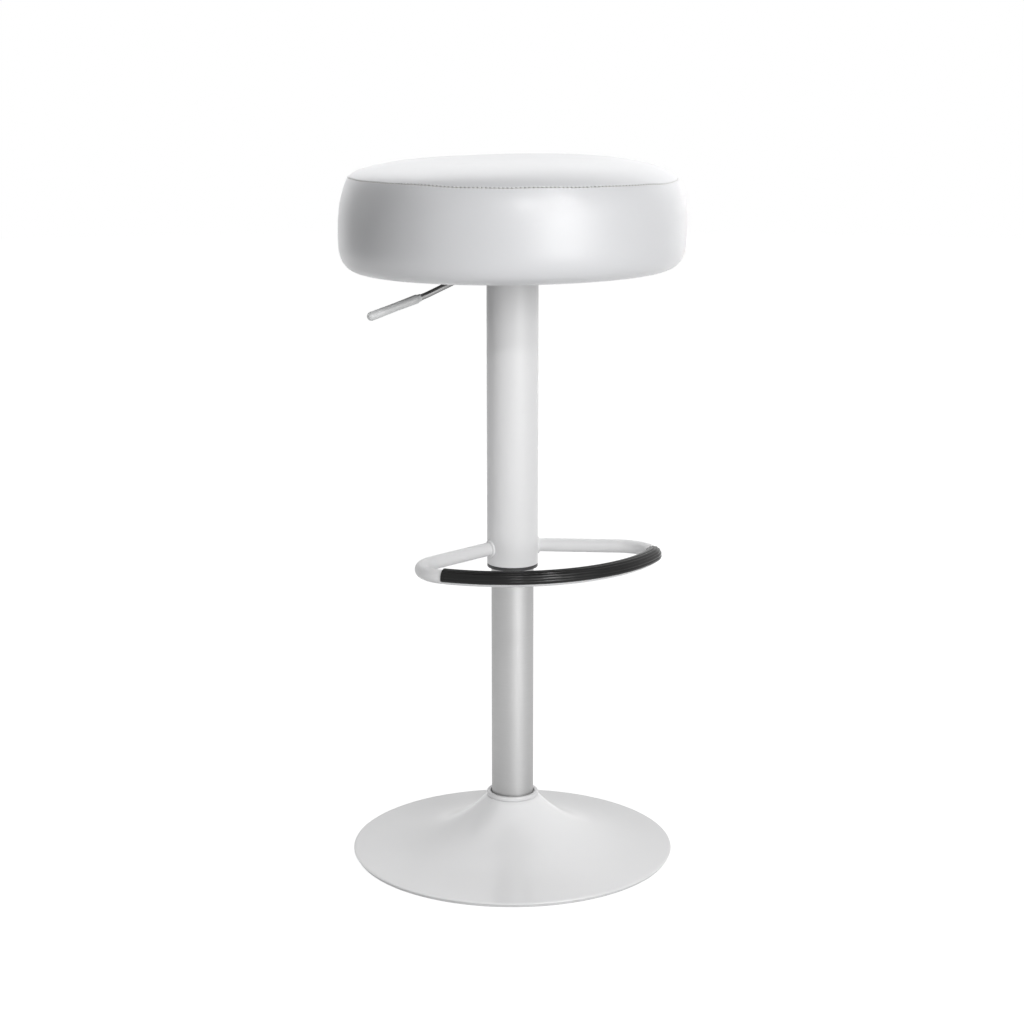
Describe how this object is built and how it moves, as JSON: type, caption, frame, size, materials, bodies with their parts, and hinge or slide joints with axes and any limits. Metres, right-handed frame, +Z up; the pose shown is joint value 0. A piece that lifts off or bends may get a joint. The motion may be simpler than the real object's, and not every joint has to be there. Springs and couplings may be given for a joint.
{
  "type": "diner counter stool",
  "caption": "Round padded counter stool on a gas lift column, with a D-shaped footrest, a height lever under the seat and a trumpet base.",
  "frame": {"origin": "on the floor, on the column's axis, with the seat raised to the top of its lift", "axes": "+Z up along the column; -Y towards the viewer of the picture; +X to the viewer's right"},
  "size_m": [0.3994, 0.3994, 0.829],
  "materials": {
    "white_paint": "gloss white powder coat",
    "satin_tube": "satin plated steel tube",
    "satin_lever": "satin plated steel rod",
    "steel": "ground steel",
    "zinc_plate": "zinc plated fasteners",
    "black_steel": "satin black paint",
    "white_collar": "moulded white plastic",
    "black_plastic": "moulded black plastic",
    "black_rubber": "ribbed black rubber",
    "pale_rubber": "moulded pale grey rubber",
    "pale_grip": "moulded pale grey plastic",
    "plywood": "raw plywood",
    "foam": "polyurethane foam",
    "white_leather": "smooth white faux leather",
    "black_cloth": "black non-woven cloth"
  },
  "bodies": {
    "base": {"base_edge_ring": "pale_rubber", "base_shell": "white_paint", "ballast_plate": "black_steel", "foot_flange": "black_steel", "foot_bolt_1": "zinc_plate", "foot_bolt_2": "zinc_plate", "foot_bolt_3": "zinc_plate", "foot_bolt_4": "zinc_plate", "neck_ring": "steel", "base_collar": "white_collar", "stand_tube": "satin_tube", "stand_glide_bush": "black_plastic", "cylinder_guide": "black_plastic", "bearing_lower_race": "steel"},
    "cage": {"bearing_cage": "steel"},
    "lift_rod": {"piston_rod": "steel", "bearing_upper_race": "steel", "rod_bumper": "black_rubber", "rod_washer": "zinc_plate", "rod_clip": "steel", "piston": "steel"},
    "seat_column": {"gas_cylinder": "black_steel", "rod_gland": "black_plastic", "cover_tube": "white_paint", "cover_guide_bush": "black_plastic", "taper_hub": "steel", "footrest_bar": "white_paint", "footrest_sleeve": "black_rubber", "seat_plate": "black_steel", "lever_bracket": "black_steel", "lever_rivet": "zinc_plate", "seat_board": "plywood", "seat_bolt_1": "zinc_plate", "seat_bolt_2": "zinc_plate", "seat_bolt_3": "zinc_plate", "seat_bolt_4": "zinc_plate", "t_nut_1": "zinc_plate", "t_nut_2": "zinc_plate", "t_nut_3": "zinc_plate", "t_nut_4": "zinc_plate", "dust_cover": "black_cloth", "foam_core": "foam", "cushion_side_band": "white_leather", "cushion_top_panel": "white_leather"},
    "lever": {"lever_rod": "satin_lever", "lever_grip": "pale_grip"},
    "valve": {"valve_pin": "steel"}
  },
  "joints": [
    {"name": "seat_swivel", "type": "hinge", "parent": "base", "child": "lift_rod", "pos_m": [0, 0, 0.0215], "axis": [0, 0, 1], "continuous": true},
    {"name": "cage_roll", "type": "hinge", "parent": "base", "child": "cage", "pos_m": [0, 0, 0.0215], "axis": [0, 0, 1], "continuous": true},
    {"name": "seat_lift", "type": "slide", "parent": "lift_rod", "child": "seat_column", "axis": [0, 0, 1], "range_m": [-0.21, 0]},
    {"name": "lever_press", "type": "hinge", "parent": "seat_column", "child": "lever", "pos_m": [-0.02977, -0.01173, 0.6985], "axis": [-0.3665, 0.9304, 0], "range_deg": [0, 6], "stiffness_Nm_per_rad": 2, "springref_deg": -17.19},
    {"name": "valve_press", "type": "slide", "parent": "seat_column", "child": "valve", "axis": [0, 0, 1], "range_m": [-0.0036, 0]}
  ],
  "couplings": [
    {"joint": "cage_roll", "follows": "seat_swivel", "ratio": 0.5},
    {"joint": "valve_press", "follows": "lever_press", "m_per_rad": -0.032}
  ]
}
